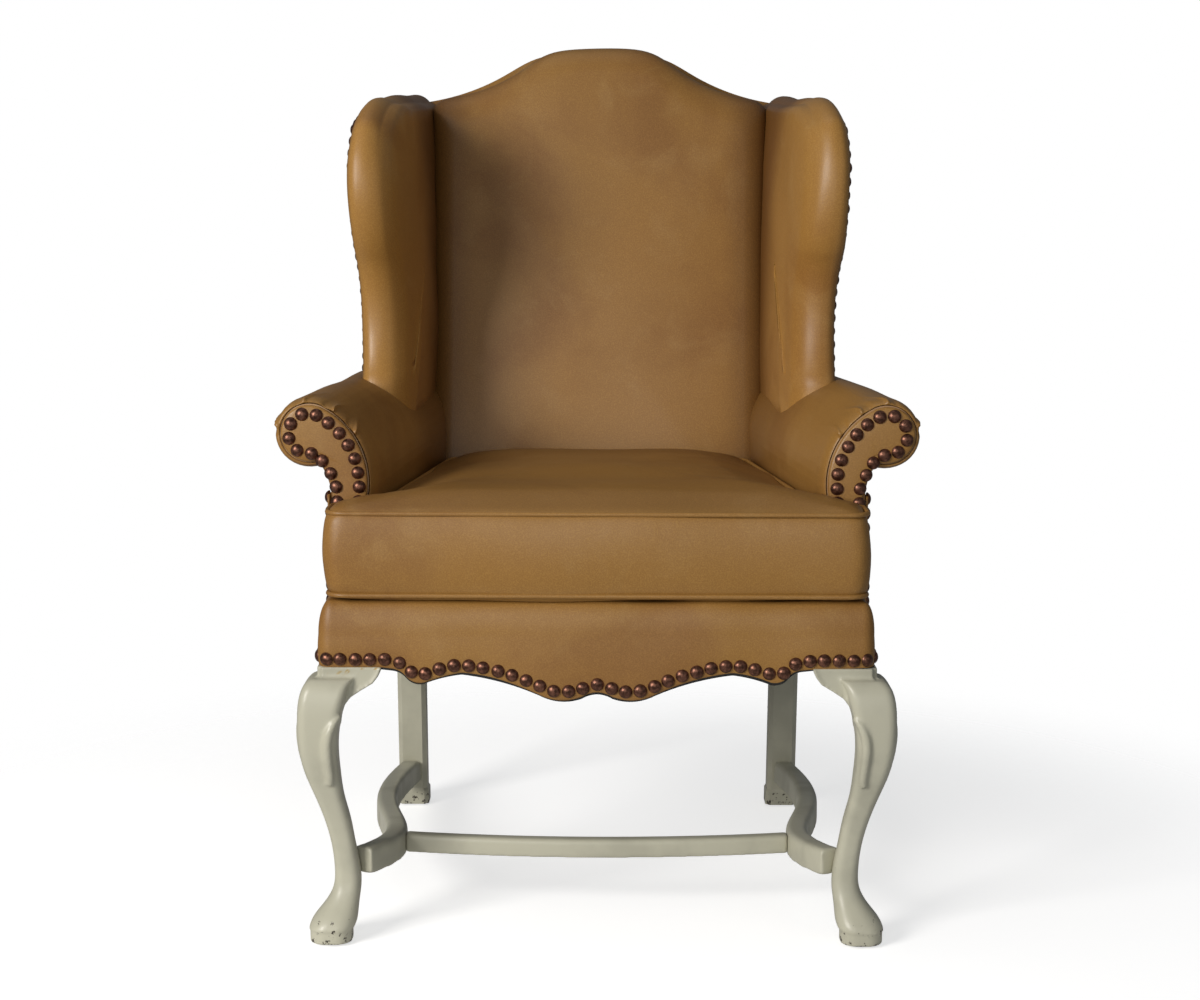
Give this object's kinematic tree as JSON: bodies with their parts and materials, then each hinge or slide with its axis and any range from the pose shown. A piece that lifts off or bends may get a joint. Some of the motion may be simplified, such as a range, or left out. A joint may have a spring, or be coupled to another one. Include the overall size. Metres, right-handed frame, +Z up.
{
  "type": "wingback armchair",
  "caption": "Leather wingback armchair with a camel crest, scrolled arms, nailed trim, a loose T-shaped seat cushion and painted cabriole legs joined by stretchers.",
  "frame": {"origin": "centre of the chair's outline on the floor", "axes": "+Z up, the chair faces -Y, +X to the right of someone looking at its front"},
  "size_m": [0.772, 0.7833, 1.0871],
  "materials": {
    "leather": "tan aniline leather, mottled, soft satin sheen",
    "painted_wood": "greige paint on carved hardwood, satin, worn at the edges",
    "frame_wood": "bare hardwood",
    "padding": "foam and batting",
    "nail_bronze": "antique bronze domed heads",
    "spring_steel": "plain wire",
    "lining": "black woven lining",
    "webbing": "jute",
    "glide": "nylon"
  },
  "bodies": {
    "chair": {"arm_cover_left": "leather", "arm_cover_right": "leather", "arm_facing_left": "leather", "arm_facing_right": "leather", "arm_pad_left": "padding", "arm_pad_right": "padding", "arm_rail_left": "frame_wood", "arm_rail_right": "frame_wood", "arm_stump_left": "frame_wood", "arm_stump_right": "frame_wood", "back_pad": "padding", "back_post_left": "painted_wood", "back_post_right": "painted_wood", "back_seat_rail": "frame_wood", "back_stay_rail": "frame_wood", "back_webbing": "webbing", "corner_block_screws": "spring_steel", "corner_blocks": "frame_wood", "crest_rail": "frame_wood", "cross_stretcher": "painted_wood", "deck_cover": "leather", "deck_pad": "padding", "dust_cover": "lining", "foot_glides": "glide", "front_border_cover": "leather", "front_border_pad": "padding", "front_leg_left": "painted_wood", "front_leg_right": "painted_wood", "front_seat_rail": "frame_wood", "inside_back_cover": "leather", "knee_blocks_left": "painted_wood", "knee_blocks_right": "painted_wood", "nails_arm_facings": "nail_bronze", "nails_front_border": "nail_bronze", "nails_outside_arms": "nail_bronze", "nails_outside_back": "nail_bronze", "nails_wings": "nail_bronze", "outside_arm_cover_left": "leather", "outside_arm_cover_right": "leather", "outside_back_cover": "leather", "outside_wing_cover_left": "leather", "outside_wing_cover_right": "leather", "seat_springs": "spring_steel", "side_seat_rail_left": "frame_wood", "side_seat_rail_right": "frame_wood", "side_stretcher_left": "painted_wood", "side_stretcher_right": "painted_wood", "spring_clips": "spring_steel", "wing_cover_left": "leather", "wing_cover_right": "leather", "wing_pad_left": "padding", "wing_pad_right": "padding", "wing_top_rail_left": "frame_wood", "wing_top_rail_right": "frame_wood", "wing_upright_left": "frame_wood", "wing_upright_right": "frame_wood"},
    "cushion": {"cushion_core": "padding", "cushion_cover": "leather", "cushion_welts": "leather"}
  },
  "joints": [
    {"name": "cushion_lift", "type": "slide", "parent": "chair", "child": "cushion", "axis": [0, 0, 1], "range_m": [0, 0.3]}
  ]
}
